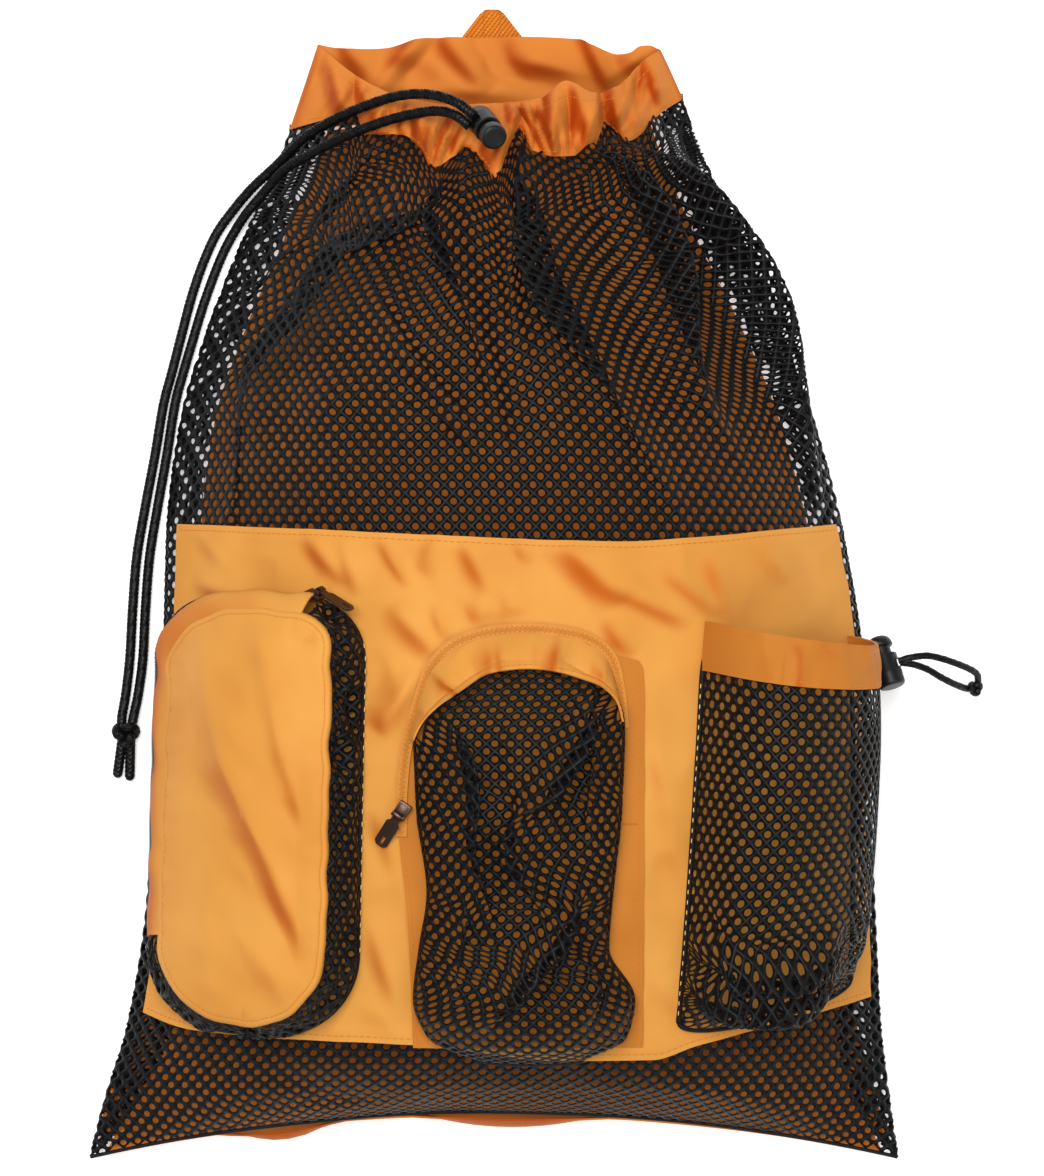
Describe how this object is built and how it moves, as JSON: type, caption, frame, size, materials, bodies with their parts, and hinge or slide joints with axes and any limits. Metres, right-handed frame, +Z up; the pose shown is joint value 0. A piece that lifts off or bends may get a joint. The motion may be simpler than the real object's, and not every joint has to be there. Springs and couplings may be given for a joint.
{
  "type": "mesh equipment backpack",
  "caption": "Drawstring backpack of black netting with an orange collar, front band, zipped box pocket, mesh pouch, bottle pocket and cord locks, lying on its back.",
  "frame": {"origin": "on the floor under the middle of the bag's outline", "axes": "+X to the right seen from the front, +Y from the bottom seam to the mouth, +Z up from the back on the floor to the pockets"},
  "size_m": [0.4669, 0.5977, 0.1366],
  "materials": {
    "netting": "knitted polyester netting, dull with a faint sheen on the strands",
    "nylon": "thin plain woven nylon with a soft satin sheen",
    "webbing": "herringbone polyester webbing, matte",
    "cord": "braided polyester cord, dull",
    "lock_plastic": "moulded, fine matte",
    "zip_metal": "dark plated zinc, worn satin",
    "zip_black": "nylon coil on woven tape",
    "zip_orange": "nylon coil on woven tape"
  },
  "bodies": {
    "bag": {"mesh_body": "netting", "back_panel": "nylon", "front_band": "nylon", "box_pocket_face": "nylon", "box_pocket_fabric_side": "nylon", "box_pocket_mesh_side": "netting", "box_pocket_zip": "zip_black", "pouch_panel": "nylon", "pouch_mesh": "netting", "pouch_yoke": "nylon", "pouch_zip": "zip_orange", "bottle_pocket_mesh": "netting", "bottle_pocket_hem": "nylon", "collar": "nylon", "haul_loop": "webbing", "shoulder_strap_left": "webbing", "shoulder_strap_right": "webbing", "collar_lock_barrel": "lock_plastic", "bottle_lock_barrel": "lock_plastic", "drawstring_upper": "cord", "drawstring_lower": "cord", "drawstring_knot": "cord", "drawstring_tail_1": "cord", "drawstring_tail_2": "cord", "bottle_elastic_upper": "cord", "bottle_elastic_lower": "cord", "bottle_elastic_knot": "cord", "box_zip_slider": "zip_metal", "pouch_zip_slider": "zip_metal"},
    "collar_plunger": {"collar_lock_plunger": "lock_plastic"},
    "bottle_plunger": {"bottle_lock_plunger": "lock_plastic"},
    "box_pull": {"box_zip_pull": "zip_metal"},
    "pouch_pull": {"pouch_zip_pull": "zip_metal"}
  },
  "joints": [
    {"name": "collar_lock_press", "type": "slide", "parent": "bag", "child": "collar_plunger", "axis": [-0.3207, 0.471, -0.8218], "range_m": [0, 0.004], "stiffness_N_per_m": 600},
    {"name": "bottle_lock_press", "type": "slide", "parent": "bag", "child": "bottle_plunger", "axis": [0.2703, -0.9211, 0.2803], "range_m": [0, 0.004], "stiffness_N_per_m": 600},
    {"name": "box_pull_hinge", "type": "hinge", "parent": "bag", "child": "box_pull", "pos_m": [-0.08536, -0.00117, 0.10132], "axis": [-0.4968, -0.2309, 0.8366], "range_deg": [0, 110]},
    {"name": "pouch_pull_hinge", "type": "hinge", "parent": "bag", "child": "pouch_pull", "pos_m": [-0.04646, -0.11367, 0.10571], "axis": [-0.8151, 0.5687, -0.1102], "range_deg": [0, 110]}
  ]
}
